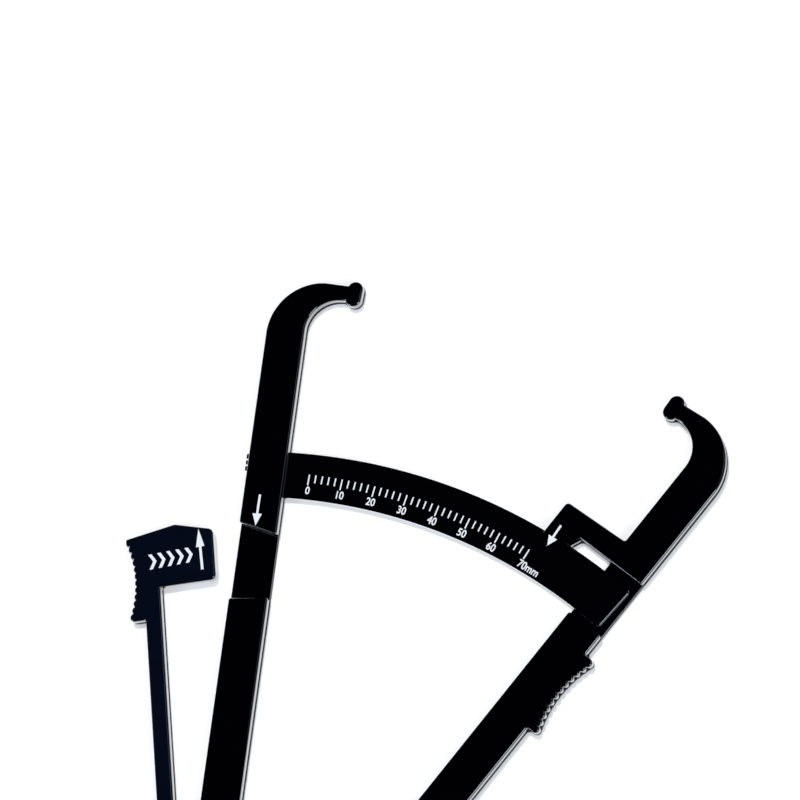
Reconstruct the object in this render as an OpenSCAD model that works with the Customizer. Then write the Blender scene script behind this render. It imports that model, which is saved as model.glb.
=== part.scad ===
// Skinfold caliper: two hooked arms on one pivot, with an arc scale between them and a
// sprung thumb lever beside the scale arm.
// It lies on its back with +Z towards the printed face. The Z axis is the pivot's axis,
// and the +Y axis is the inner edge of the scale arm, which is the left one.
// Both arms share one outline, drawn as the left arm: inner edge on x = 0, body at x < 0.
// The pointer arm is that outline mirrored and turned about the pivot.

/* [Jaws] */
// Distance from the pivot to the middle of the jaw pads
tip_r = 171.5; // [160:0.5:185]
// Angle between an arm's inner edge and its jaw face, seen from the pivot
face_angle = 4; // [3.6:0.1:4.3]
// Radius of the hook's outer curve
hook_out_r = 12.2; // [11.4:0.1:13]
// Radius of the hook's inner curve
hook_in_r = 7.1; // [6:0.1:7.6]
// Width of the hook where it meets the pad
neck_w = 3.4; // [2.8:0.1:4]
// Height of the hook's crest above the neck
crest_rise = 0.6; // [0.1:0.1:1]
// Radius of the two round lobes of a jaw pad
pad_lobe_r = 1.8; // [1.4:0.05:2]
// Distance between the centres of a pad's two lobes
pad_pitch = 2.2; // [1.6:0.1:3]

/* [Arms] */
// Width of an arm
arm_w = 8.9; // [8:0.1:10]
// Thickness of an arm
arm_t = 2.8; // [2.6:0.1:3.6]
// Thickness of the plate that stays behind a recess in an arm
plate_t = 1; // [0.8:0.05:1.1]
// Gap between plates that slide over each other
slide_gap = 0.12; // [0.08:0.01:0.15]

/* [Opening] */
// Reading of the scale in the pose that is drawn, in millimetres
shown_reading = 73.9; // [20:0.1:76]

/* [Scale bar] */
// Distance from the jaw pads down to the scale bar's inner edge
bar_drop = 47.4; // [45:0.1:50]
// Width of the scale bar
bar_w = 10.3; // [9:0.1:11.5]
// Thickness of the scale bar
bar_t = 0.75; // [0.6:0.05:0.9]
// Reading at which the pointer arm's inner edge would pass the bar's end
bar_reach = 83.7; // [82:0.1:90]
// Radius of the two corners at the bar's free end
bar_corner_r = 0.8; // [0.4:0.1:1.5]
// Depth of the bar's seat in the side of the scale arm
seat_d = 5; // [3.5:0.1:6]
// Clearance round the bar in its seat
seat_gap = 0.05; // [0.03:0.01:0.1]
// Width of the tang that passes through the arm
tang_w = 3.6; // [3:0.1:4.5]
// How far out along the bar's width the tang sits, from the bar's inner edge
tang_rise = 7.5; // [4:0.1:7.8]
// Width of the slits that divide the tang into prongs
slit_w = 0.35; // [0.25:0.05:0.5]
// How far the prongs reach past the arm's outer side
barb_out = 0.65; // [0.5:0.05:0.9]
// How far each outer prong's barb overhangs its slot
barb_over = 0.35; // [0.2:0.05:0.5]

/* [Pointer arm] */
// Gap between the scale bar's outer edge and the shoulder above it
bar_gap_out = 2.2; // [1.5:0.1:3.5]
// Gap between the scale bar's inner edge and the block below it
bar_gap_in = 1.2; // [0.8:0.1:2]
// How far the pointer flag reaches in from the arm's inner edge
flag_w = 15.6; // [14:0.1:17]
// Height of the pointer flag
flag_h = 5.4; // [4.6:0.1:7]
// Slope of the flag's upper edge
flag_slope = 2.5; // [0:0.5:5]
// Radius of the flag's free corner
flag_corner_r = 1; // [0.6:0.1:1.4]
// Distance from the arm's inner edge to the pointer's tip
pointer_x = 12.9; // [12.4:0.1:13.4]
// How far the pointer reaches down over the scale bar
pointer_drop = 3.8; // [2.5:0.1:4.5]
// Where the pointer's slanted edge starts, from the arm's inner edge
pointer_root_x = 8.2; // [7:0.1:9]

/* [Finger grips] */
// Distance from the scale bar's recess down to the pointer arm's grip
grip_below = 5.2; // [3:0.1:10]
// Length of the pointer arm's grip
grip_len = 19.8; // [17:0.1:20.5]
// How far the pointer arm's grip stands out of the arm at its ends
grip_out = 2.5; // [2.3:0.1:3.2]
// Depth of the hollow in the pointer arm's grip
grip_hollow = 1.6; // [1.2:0.1:1.8]
// Depth of the hollow in the thumb lever's grip
thumb_hollow = 1.5; // [1:0.1:1.8]
// Number of ribs on each grip
grip_ribs = 12; // [9:1:14]
// Radius of one rib
rib_r = 1; // [0.9:0.05:1.2]

/* [Thumb lever] */
// Angle that the lever turns through when it is pressed home
press_angle = 12; // [10:0.1:13]
// Distance from the scale bar down to the pressed head's ridge
head_below = 7.4; // [6.5:0.1:9]
// Width of the lever's long beam
beam_w = 3.8; // [3.2:0.1:4.4]
// Distance from the bending point to the lower edge of the lever's head
head_y = 57.2; // [55:0.1:60]
// Height of the head from its lower edge to its ridge
head_h = 13.8; // [12:0.1:15]
// Width of the head from the beam's middle to its free side
head_w = 14.6; // [13.5:0.1:15.5]
// Distance from the beam's middle to the head's ridge
ridge_x = 6; // [5:0.1:8]
// Slope of the head's upper edge on its free side
roof_slope = 14.6; // [12:0.1:17]
// Slope of the head's upper edge on the thumb's side
thumb_slope = 9.8; // [6:0.1:14]
// Radius of the head's free corners
head_corner_r = 1.3; // [0.8:0.1:1.8]
// Distance from the beam's middle to the thumb grip's outer ends
thumb_out = 5.4; // [4.8:0.1:6]
// Distance from the head's lower edge down to the thumb grip's lower end
thumb_drop = 7; // [5:0.1:9]
// Gap between the pressed head's ridge side and the scale arm
head_gap_up = 1; // [0.6:0.1:1.6]
// Gap between the pressed head's lower edge and the scale arm
head_gap_low = 1.4; // [0.4:0.1:1.8]
// How far the pressed head stays short of the arm's inner edge
head_short = 0.1; // [0:0.1:1]
// Slope of the shoulder below the pressed head
ledge_slope = 4.5; // [0:0.5:8]
// Running clearance at the lever's bending point
bend_gap = 0.1; // [0.05:0.01:0.15]

/* [Pivot] */
// Radius of the round eye at the end of each arm
eye_r = 8.9; // [8:0.1:9]
// Gap between one arm's eye and the other arm's shoulder
shoulder_gap = 0.3; // [0.2:0.05:0.6]
// Gap between the two lapped eyes
lap_gap = 0.1; // [0.06:0.01:0.2]
// Radius of the hub that the pointer arm turns on
hub_r = 3; // [2.6:0.1:4]
// Radial clearance between the hub and the pointer arm's bore
hub_gap = 0.05; // [0.03:0.01:0.09]
// Play of the pointer arm below the washer
end_play = 0.05; // [0.03:0.01:0.15]
// Radius of the washer
washer_r = 5; // [4.5:0.1:6]
// Thickness of the washer
washer_t = 0.5; // [0.4:0.05:0.8]
// Radius of the screw's shank
screw_r = 1.05; // [0.9:0.05:1.3]
// Radial clearance round the screw's shank
screw_gap = 0.05; // [0.03:0.01:0.1]
// Floor left under the screw's hole
screw_floor = 0.5; // [0.4:0.1:0.7]
// Radius of the screw's head
screw_head_r = 2.3; // [1.9:0.1:2.8]
// Height of the screw's head
screw_head_h = 1.2; // [1:0.1:1.6]
// Width of the cross recess in the screw's head
cross_w = 0.5; // [0.4:0.05:0.7]
// Depth of the cross recess
cross_d = 0.7; // [0.5:0.05:0.8]

/* [Hidden] */
$fn = 120;
eps = 1; // how far a cut runs past the face that it opens

// Scale: 1 mm between the jaw faces is the same angle all along the bar
deg_per_mm = 2 * asin(35 / tip_r) / 70;
open_angle = shown_reading * deg_per_mm;
arm_angle = open_angle + 2 * face_angle;

// Levels above the surface that the caliper lies on
bar_z = plate_t + slide_gap;
lip_z = bar_z + bar_t + slide_gap;
eye_t = (arm_t - lap_gap) / 2;
washer_z = arm_t + end_play;

// Hook: the outer and the inner curve touch the arm's edges and end at the neck
pad_y = tip_r * cos(face_angle) + pad_lobe_r * sin(face_angle);
neck_hi = pad_y + neck_w / 2;
neck_lo = pad_y - neck_w / 2;
crest_y = neck_hi + crest_rise;
out_c = [hook_out_r - arm_w, crest_y - hook_out_r];
in_c = [hook_in_r, neck_lo - hook_in_r];
pad_x = tip_r * sin(face_angle) - pad_lobe_r * cos(face_angle);

// Scale bar and the recess that it slides in
bar_in_r = tip_r - bar_drop;
bar_out_r = bar_in_r + bar_w;
bar_end_angle = bar_reach * deg_per_mm + 2 * face_angle;
tang_y = bar_in_r + tang_rise;
shoulder_y = bar_out_r + bar_gap_out;
block_y = bar_in_r - bar_gap_in;
grip_y = block_y - grip_below - grip_len;

// Thumb lever, in its own frame: bending point at the origin, beam along +Y
bend_x = -(head_w + head_short);
ridge_y = head_y + head_h;
bend_y = bar_in_r - head_below - ridge_y;
beam_h = beam_w / 2;
thumb_y = head_y - thumb_drop;

// Height of the head's upper edge at x
function roof_y(x) =
    ridge_y - (x > ridge_x ? (x - ridge_x) * tan(roof_slope) : (ridge_x - x) * tan(thumb_slope));

// The ring about the pivot that the bar is cut from, or grown by a clearance
module bar_ring(grow) {
    difference() {
        circle(r = bar_out_r + grow);
        circle(r = bar_in_r - grow);
    }
}

// The bar's free end lies on a ray and has two round corners
module bar_outline() {
    far = 2 * bar_out_r;
    r = bar_corner_r;
    high = sqrt(pow(bar_out_r - r, 2) - r * r);
    low = sqrt(pow(bar_in_r + r, 2) - r * r);
    difference() {
        intersection() {
            bar_ring(0);
            translate([-seat_d, 0]) square([far, far]);
        }
        rotate(-bar_end_angle) translate([-r, 0]) square([far, far]);
        rotate(-bar_end_angle - 45) translate([-r, 0]) square([far, far]);
    }
    rotate(-bar_end_angle) {
        translate([-r, high]) circle(r = r);
        translate([-r, low]) circle(r = r);
        translate([-r - eps, low]) square([r + eps, high - low]);
    }
}

// The two lobes and the flat contact face of a jaw pad
module pad_outline() {
    rotate(-face_angle)
        translate([-pad_lobe_r, tip_r]) {
            for (s = [-1, 1])
                translate([0, s * pad_pitch / 2]) circle(r = pad_lobe_r);
            square([2 * pad_lobe_r, pad_pitch], center = true);
        }
}

// The hook: a quarter disc and a neck, less the inner curve
module hook_outline() {
    difference() {
        union() {
            intersection() {
                translate(out_c) circle(r = hook_out_r);
                translate([-arm_w, out_c.y]) square(hook_out_r);
            }
            polygon([
                [out_c.x, out_c.y],
                [out_c.x, crest_y],
                [pad_x, neck_hi],
                [pad_x, out_c.y]
            ]);
        }
        translate(in_c) circle(r = hook_in_r);
        translate([0, out_c.y - eps]) square([pad_x + eps, in_c.y - out_c.y + eps]);
        translate([in_c.x, in_c.y - eps]) square([pad_x, hook_in_r + eps]);
    }
}

// The outline that both arms share, from the pivot to the jaw pad
module arm_outline() {
    translate([-arm_w, 0]) square([arm_w, out_c.y]);
    hook_outline();
    pad_outline();
}

// A hollow row of round ribs on the left side of a block that is w wide and len long
module grip_outline(len, w, hollow) {
    chord = len - 2 * rib_r;
    bow_r = (chord * chord / 4 + hollow * hollow) / (2 * hollow);
    half = asin(chord / 2 / bow_r);
    bow = [rib_r + hollow - bow_r, len / 2];
    difference() {
        translate([rib_r, 0]) square([w - rib_r, len - rib_r / 4]);
        translate(bow) circle(r = bow_r);
    }
    for (i = [0 : grip_ribs - 1]) {
        a = half * (2 * i / (grip_ribs - 1) - 1);
        translate(bow + bow_r * [cos(a), sin(a)]) circle(r = rib_r);
    }
}

// Turns a lever outline from the lever's frame into the scale arm's frame
module at_lever() {
    translate([bend_x, bend_y]) rotate(press_angle) children();
}

// The part of the lever's outline that lies over the scale arm when it is pressed
module head_outline() {
    r = head_corner_r;
    top_c = [head_w - r, roof_y(head_w - r) - r / cos(roof_slope)];
    top_in = top_c + r * [sin(roof_slope), cos(roof_slope)];
    polygon([
        [0, head_y],
        [head_w - r, head_y],
        [head_w - r, head_y + r],
        [head_w, head_y + r],
        [head_w, top_c.y],
        top_c,
        top_in,
        [ridge_x, ridge_y],
        [beam_h, roof_y(beam_h)],
        [0, roof_y(0) - beam_h]
    ]);
    translate([head_w - r, head_y + r]) circle(r = r);
    translate(top_c) circle(r = r);
}

// Beam, thumb grip and the roofed block above it, all as thick as the arms
module lever_block_outline() {
    corner_y = roof_y(-thumb_out);
    circle(r = beam_h);
    polygon([
        [-beam_h, 0],
        [beam_h, 0],
        [beam_h, roof_y(beam_h)],
        [-thumb_out, corner_y],
        [-thumb_out, corner_y - rib_r / 2],
        [-beam_h, corner_y - rib_r]
    ]);
    translate([-thumb_out, thumb_y])
        grip_outline(corner_y - thumb_y, thumb_out, thumb_hollow);
}

// The recess that takes the pressed head, with one side along the head's roof
module press_recess() {
    low_y = bend_y + head_y - head_gap_low;
    up_in = bend_y + roof_y(head_w) + head_gap_up;
    up_out = up_in + arm_w * tan(roof_slope);
    rise = arm_w * tan(ledge_slope);
    polygon([
        [eps, low_y + eps * tan(ledge_slope)],
        [eps, up_in - eps * tan(roof_slope)],
        [-arm_w, up_out],
        [-arm_w - eps, up_out],
        [-arm_w - eps, low_y - rise],
        [-arm_w, low_y - rise]
    ]);
}

// The lever's fixed root: it leaves the arm's outer side and ends in a hollow socket
module root_outline() {
    root_len = (bend_y - eye_r / 2) / cos(press_angle);
    at_lever() difference() {
        translate([-beam_h, -root_len]) square([beam_w, root_len]);
        circle(r = beam_h + bend_gap);
    }
}

// The scale bar's seat in the arm, with the slot for its tang
module bar_seat() {
    h = bar_t + seat_gap;
    translate([0, 0, bar_z]) linear_extrude(h) {
        intersection() {
            bar_ring(seat_gap);
            translate([-seat_d - seat_gap, 0]) square([seat_d + seat_gap + eps, 2 * tip_r]);
        }
        translate([-arm_w - eps, tang_y - tang_w / 2 - seat_gap])
            square([arm_w - seat_d + 2 * eps, tang_w + 2 * seat_gap]);
    }
}

// Scale arm: the lever's root, the recess for its head and the bar's seat
module left_arm() {
    color([0.03, 0.03, 0.05]) {
        difference() {
            linear_extrude(arm_t) {
                arm_outline();
                root_outline();
            }
            translate([0, 0, plate_t]) linear_extrude(arm_t) press_recess();
            bar_seat();
            translate([0, 0, eye_t]) cylinder(h = arm_t, r = eye_r + shoulder_gap);
            pilot_hole();
        }
        difference() {
            union() {
                cylinder(h = eye_t, r = eye_r);
                cylinder(h = washer_z, r = hub_r);
            }
            pilot_hole();
        }
    }
}

module pilot_hole() {
    translate([0, 0, screw_floor]) cylinder(h = arm_t + eps, r = screw_r + screw_gap);
}

// Pointer arm: the eye on top, the bar's recess, the pointer flag and the finger grip
module right_arm_local() {
    difference() {
        union() {
            linear_extrude(arm_t) {
                arm_outline();
                translate([-arm_w - grip_out, grip_y])
                    grip_outline(grip_len, grip_out + eps, grip_hollow);
                flag_outline();
            }
            translate([0, 0, lip_z]) linear_extrude(arm_t - lip_z) pointer_outline();
        }
        translate([-arm_w - eps, block_y, plate_t])
            cube([arm_w + 2 * eps, shoulder_y - block_y, arm_t]);
        translate([0, 0, -eps])
            cylinder(h = arm_t - eye_t + eps, r = eye_r + shoulder_gap);
        translate([0, 0, -eps]) cylinder(h = arm_t + 2 * eps, r = hub_r + hub_gap);
    }
    translate([0, 0, arm_t - eye_t]) difference() {
        cylinder(h = eye_t, r = eye_r);
        translate([0, 0, -eps]) cylinder(h = eye_t + 2 * eps, r = hub_r + hub_gap);
    }
}

// The flag stands on the arm's inner edge, above the scale bar
module flag_outline() {
    r = flag_corner_r;
    x = flag_w - r;
    y = shoulder_y + flag_h - x * tan(flag_slope) - r / cos(flag_slope);
    polygon([
        [-eps, shoulder_y],
        [flag_w, shoulder_y],
        [flag_w, y],
        [x, y],
        [x + r * sin(flag_slope), y + r * cos(flag_slope)],
        [-eps, shoulder_y + flag_h + eps * tan(flag_slope)]
    ]);
    translate([x, y]) circle(r = r);
}

// The pointer is the flag's front layer, drawn down over the bar
module pointer_outline() {
    polygon([
        [pointer_root_x, shoulder_y],
        [pointer_x, shoulder_y - bar_gap_out - pointer_drop],
        [flag_w, shoulder_y - bar_gap_out - pointer_drop / 2],
        [flag_w, shoulder_y + flag_h / 2],
        [pointer_root_x, shoulder_y + flag_h / 2]
    ]);
}

module right_arm() {
    color([0.03, 0.03, 0.05])
        rotate(-arm_angle) mirror([1, 0, 0]) right_arm_local();
}

// Scale bar: an arc about the pivot, with a slit tang that snaps through the arm
module scale_bar() {
    color([0.04, 0.04, 0.06])
        translate([0, 0, bar_z]) linear_extrude(bar_t) {
            bar_outline();
            tang_outline();
        }
}

// A tang slit into three prongs; each outer prong has a barb that hooks behind the arm
module tang_outline() {
    half = tang_w / 2;
    slit_at = (tang_w + slit_w) / 6;
    reach = arm_w + barb_out;
    step = arm_w + seat_gap;
    root = seat_d - eps;
    translate([0, tang_y]) difference() {
        polygon([
            [-root, -half],
            [-root, half],
            [-step, half],
            [-step, half + barb_over],
            [-reach, half],
            [-reach, -half],
            [-step, -half - barb_over],
            [-step, -half]
        ]);
        for (s = [-1, 1])
            translate([-reach - eps, s * slit_at - slit_w / 2])
                square([reach - seat_d + eps, slit_w]);
    }
}

// Thumb lever: the beam above its bending point, the ribbed grip and the head plate
module thumb_lever() {
    color([0.04, 0.05, 0.09])
        at_lever() {
            linear_extrude(arm_t) lever_block_outline();
            translate([0, 0, bar_z]) linear_extrude(arm_t - bar_z) head_outline();
        }
}

module pivot_washer() {
    color("silver")
        translate([0, 0, washer_z]) difference() {
            cylinder(h = washer_t, r = washer_r);
            translate([0, 0, -eps])
                cylinder(h = washer_t + 2 * eps, r = screw_r + screw_gap);
        }
}

module pivot_screw() {
    top = washer_z + washer_t;
    color("silver") difference() {
        union() {
            translate([0, 0, screw_floor]) cylinder(h = top - screw_floor, r = screw_r);
            translate([0, 0, top]) cylinder(h = screw_head_h, r = screw_head_r);
        }
        for (a = [0, 90])
            rotate(a) translate([0, 0, top + screw_head_h])
                cube([2 * screw_head_r * 0.7, cross_w, 2 * cross_d], center = true);
    }
}

left_arm();
right_arm();
scale_bar();
thumb_lever();
pivot_washer();
pivot_screw();
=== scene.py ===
# %% [markdown]
# # A skinfold caliper
# The real object is a cheap moulded tool: two black plastic arms with hooked jaws turn on
# one pivot, an arc-shaped scale slides past a pointer, and a springy thumb lever stands
# out beside the scale arm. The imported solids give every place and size. They have hard
# edges, so each one is drawn again here as a surface with the soft edges of a moulding.

# %% The frame
import math
import bmesh
import bpy
import numpy as np
from mathutils import Matrix, Vector, geometry


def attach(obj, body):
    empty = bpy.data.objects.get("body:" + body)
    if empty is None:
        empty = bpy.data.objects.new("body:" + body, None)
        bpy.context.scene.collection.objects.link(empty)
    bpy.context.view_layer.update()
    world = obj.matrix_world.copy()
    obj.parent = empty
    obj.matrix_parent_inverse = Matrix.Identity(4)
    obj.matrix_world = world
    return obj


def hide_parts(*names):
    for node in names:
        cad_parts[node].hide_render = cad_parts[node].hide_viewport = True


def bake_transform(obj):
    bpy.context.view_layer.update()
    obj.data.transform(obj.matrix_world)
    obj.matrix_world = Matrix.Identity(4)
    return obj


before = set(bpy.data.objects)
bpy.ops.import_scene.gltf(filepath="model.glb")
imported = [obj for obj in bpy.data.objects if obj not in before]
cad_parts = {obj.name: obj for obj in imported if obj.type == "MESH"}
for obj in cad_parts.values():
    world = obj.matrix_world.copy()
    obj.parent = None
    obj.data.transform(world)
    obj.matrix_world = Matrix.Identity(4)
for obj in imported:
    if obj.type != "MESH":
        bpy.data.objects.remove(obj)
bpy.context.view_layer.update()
MM = 0.001
print("solids:", ", ".join(sorted(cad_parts)))

# %% [markdown]
# ## The sizes
# Sizes are in millimetres and repeat the named values of the part's source. The scale
# arm's inner edge is the line x = 0 and the pivot is the origin. The pointer arm is the
# same outline, mirrored and turned about the pivot by the angle that is open here. SOFT
# and FOOT round a plate's upper and lower edge, and CORNER rounds its outline. EYE_R is
# a hair under the source's, which keeps the eye inside the solids' box. The lever is
# drawn as if pressed home, in a frame at BEND, where its strip bends. It is then turned
# back by PRESS, the angle of a full press.

# %% Sizes
TIP_R, FACE = 171.5, 4.0
ARM_W, ARM_T, PLATE_T = 8.9, 2.8, 1.0
DEG_PER_MM = 2 * math.degrees(math.asin(35 / TIP_R)) / 70
ARM_TURN = 73.9 * DEG_PER_MM + 2 * FACE
BAR_IN, BAR_OUT, BAR_Z, BAR_T = 124.1, 134.4, 1.12, 0.75
BAR_END = 83.7 * DEG_PER_MM + 2 * FACE
LIP_Z, EYE_R, EYE_T = 1.99, 8.89, 1.35
BEND, PRESS = np.array([-14.7, 45.7]), 12.0
HALF_BEAM, BEAM_END = 1.9, -16
SOFT, FOOT, CORNER = 0.5, 0.5, 0.56
print(f"the arms stand {ARM_TURN:.2f} degrees apart")

# %% [markdown]
# ## Outlines
# Every moulded piece is a plate, so its shape starts as an outline in the plane. Drawing
# it as a curve object would work too, but a list of points is exact and easy to check.
# An outline here is made of corners, each with a radius of its own, and of arcs.

# %% Arcs and rounded corners
def arc(centre, radius, start, end, step=7.5):
    """Points centre + radius (cos a, sin a), with a going evenly from start to end."""
    count = max(3, int(abs(end - start) / step) + 1)
    a = np.radians(np.linspace(start, end, count))
    return np.asarray(centre) + radius * np.stack([np.cos(a), np.sin(a)], axis=1)


def rounded(point, before, after, radius):
    """The arc that touches both sides of a corner, radius / tan(half angle) from it."""
    u, v = before - point, after - point
    u, v = u / np.hypot(*u), v / np.hypot(*v)
    half = math.acos(np.clip(u @ v, -1, 1)) / 2
    centre = point + (u + v) / np.hypot(*(u + v)) * radius / math.sin(half)
    ends = point + np.stack([u, v]) * radius / math.tan(half)
    a, b = np.degrees(np.arctan2(*(ends - centre).T[::-1]))
    return arc(centre, radius, a, a + (b - a + 180) % 360 - 180, 15)


def outline(*parts):
    """A closed loop. A part is (x, y), (x, y, radius) or an array of points on a curve."""
    rows = [np.atleast_2d(np.asarray(p, float)) for p in parts]
    radii = np.concatenate([r[:, 2] if r.shape[1] == 3 else np.zeros(len(r)) for r in rows])
    points = np.vstack([r[:, :2] for r in rows])
    before, after = np.roll(points, 1, axis=0), np.roll(points, -1, axis=0)
    for i in np.flatnonzero(radii)[::-1]:
        bend = rounded(points[i], before[i], after[i], radii[i])
        points = np.vstack([points[:i], bend, points[i + 1:]])
    apart = np.hypot(*(points - np.roll(points, 1, axis=0)).T) > 1e-4
    return points[apart]


def turned(points, degrees, origin=(0, 0)):
    """Points turned anticlockwise about (0, 0), then moved to origin."""
    a = math.radians(degrees)
    spin = np.array([[math.cos(a), math.sin(a)], [-math.sin(a), math.cos(a)]])
    return np.asarray(points) @ spin + origin


def on_right(loop):
    """A loop of the pointer arm: mirrored in x = 0, turned, and its order reversed."""
    return turned(np.asarray(loop) * [-1, 1], -ARM_TURN)[::-1]


def on_lever(points):
    """Lever frame to caliper frame: turned by the press angle about the bending point."""
    return turned(points, PRESS, BEND)


# %% [markdown]
# ## Soft-edged plates
# A moulded plate has a small radius along its edges, and on black gloss that radius is
# all that shows: it catches a lamp as one thin bright line. Blender's Bevel modifier
# could round a plain extrusion, but it stumbles on the tight ribs of the grips. Here the
# outline is carried up the wall and moved inwards along two quarter circles instead.

# %% The plate
def inset(loop, cuts=()):
    """For each corner the move that shifts both its sides inwards by 1: m.n1 = m.n2 = 1.

    A side that is a cut stays where it is, so its part of the sum is 0 instead of 1.
    """
    side = np.roll(loop, -1, axis=0) - loop
    side = side / np.linalg.norm(side, axis=1)[:, None]
    n2 = np.stack([-side[:, 1], side[:, 0]], axis=1)
    n1 = np.roll(n2, 1, axis=0)
    w2 = np.ones(len(loop))
    for start, _ in cuts:
        w2[np.hypot(*(loop - start).T) < 1e-3] = 0
    w1 = np.roll(w2, 1)
    c = np.sum(n1 * n2, axis=1)
    level = w1 == w2
    wide = np.maximum(1 - c * c, 1e-6)
    a = np.where(level, w1 / (1 + c), (w1 - c * w2) / wide)
    b = np.where(level, w2 / (1 + c), (w2 - c * w1) / wide)
    return a[:, None] * n1 + b[:, None] * n2


def cap(loops):
    """Triangles that fill the area between flat loops, all turned anticlockwise."""
    flat = np.vstack(loops)
    level = [np.c_[p, 0 * p[:, 0]].tolist() for p in loops]
    tri = np.array(geometry.tessellate_polygon(level))
    a, b, c = flat[tri.T]
    ab, ac = b - a, c - a
    area = ab[:, 0] * ac[:, 1] - ab[:, 1] * ac[:, 0]
    tri[area < 0] = tri[area < 0][:, ::-1]
    return tri


ROWS, RIM = 6, 0.03


def plate(loops, z0, z1, top=SOFT, foot=FOOT, cuts=()):
    """A closed plate between heights z0 and z1, as (points, wall quads, cap triangles).

    Each row of the wall is the outline moved inwards by d and lifted to z. At the foot
    d = foot (1 - sin s), z = z0 + foot (1 - cos s), and at the top
    d = top (1 - cos s), z = z1 - top (1 - sin s), with s from 0 to 90 degrees. Each
    radius is one number, or one for each point of the outline. A flat rim follows, which
    keeps the cap's long triangles away from the smooth edge.
    """
    loops = [np.asarray(p) for p in loops]
    s = np.radians(np.linspace(0, 90, ROWS))[:, None]
    flat = np.vstack(loops)
    total = len(flat)
    none = np.zeros(total)
    top, foot = top + none, foot + none
    d, z = [none[None]], [none[None] + z0]
    if foot.any():
        d = [foot[None] + RIM, foot * (1 - np.sin(s))]
        z = [none[None] + z0, z0 + foot * (1 - np.cos(s))]
    if top.any():
        d += [top * (1 - np.cos(s)), top[None] + RIM]
        z += [z1 - top * (1 - np.sin(s)), none[None] + z1]
    else:
        d, z = d + [none[None]], z + [none[None] + z1]
    d, z = np.vstack(d), np.vstack(z)
    arrows = np.vstack([inset(p, cuts) for p in loops])
    xy = flat[None] + d[:, :, None] * arrows[None]
    points = np.concatenate([xy, z[:, :, None]], axis=2).reshape(-1, 3)
    quads, base = [], 0
    for loop in loops:
        i = np.arange(len(loop))
        j = (i + 1) % len(loop)
        k = (np.arange(len(d) - 1) * total)[:, None] + base
        wall = np.stack([k + i, k + j, k + total + j, k + total + i], axis=2)
        quads.append(wall.reshape(-1, 4))
        base += len(loop)
    edges = np.cumsum([0] + [len(p) for p in loops])
    low = [xy[0][a:b] for a, b in zip(edges, edges[1:])]
    high = [xy[-1][a:b] for a, b in zip(edges, edges[1:])]
    caps = np.vstack([cap(low)[:, ::-1], cap(high) + total * (len(d) - 1)])
    return points, np.vstack(quads), caps


def put(name, shells, material, sharp=35):
    """Joins closed shells, in millimetres, into one mesh in metres at the origin."""
    sizes = np.cumsum([0] + [len(s[0]) for s in shells])
    mesh = bpy.data.meshes.new(name)
    quads = [(s[1] + n).tolist() for s, n in zip(shells, sizes) if len(s[1])]
    caps = [(s[2] + n).tolist() for s, n in zip(shells, sizes) if len(s[2])]
    walls = sum(quads, [])
    faces = walls + sum(caps, [])
    mesh.from_pydata((np.vstack([s[0] for s in shells]) * MM).tolist(), [], faces)
    mesh.polygons.foreach_set("use_smooth", np.arange(len(faces)) < len(walls))
    mesh.set_sharp_from_angle(angle=math.radians(sharp))
    mesh.materials.append(material)
    mesh.validate()
    mesh.update()
    piece = bpy.data.objects.new(name, mesh)
    bpy.context.scene.collection.objects.link(piece)
    size = np.ptp(np.vstack([s[0] for s in shells]), axis=0)
    print(f"{name}: {len(faces)} faces, {size[0]:.1f} x {size[1]:.1f} x {size[2]:.2f} mm")
    return piece


# %% [markdown]
# ## The black plastic
# Polished moulded plastic is nearly black with a hard, clear gloss. What makes it look
# real is small: the face is never quite flat, the gloss varies a little where it has been
# handled, and some dust always lies on it. All of this comes from noise on Object
# coordinates, so it is fixed to the piece. The bar and the lever are a little bluer; the
# lever's bluer, lighter colour is a painted reflection of the bluish light on its face.

# %% Plastic
def node(tree, kind, values=(), **settings):
    """One shader node, with its inputs and settings."""
    n = tree.nodes.new(kind)
    for key, value in settings.items():
        setattr(n, key, value)
    for key, value in dict(values).items():
        n.inputs[key].default_value = value
    return n


def blank(name):
    """A new material, its node tree and its shader."""
    m = bpy.data.materials.new(name)
    m.use_nodes = True
    return m, m.node_tree, m.node_tree.nodes["Principled BSDF"]


def maths(tree, operation, *values):
    """One Math node on two or three numbers or sockets."""
    m = node(tree, "ShaderNodeMath", operation=operation)
    for slot, value in zip(m.inputs, values):
        if isinstance(value, float):
            slot.default_value = value
        else:
            tree.links.new(value, slot)
    return m.outputs[0]


def spread(tree, source, low, high):
    """Maps 0..1 to low..high."""
    m = node(tree, "ShaderNodeMapRange", {"To Min": low, "To Max": high})
    tree.links.new(source, m.inputs["Value"])
    return m.outputs["Result"]


DUST, DUST_R, DUST_FREE = (0.2, 0.19, 0.18, 1), 0.016, 0.9
GLOSS = {"IOR": 1.55, "Coat Weight": 1.0, "Coat IOR": 1.6, "Coat Roughness": 0.04}


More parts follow.
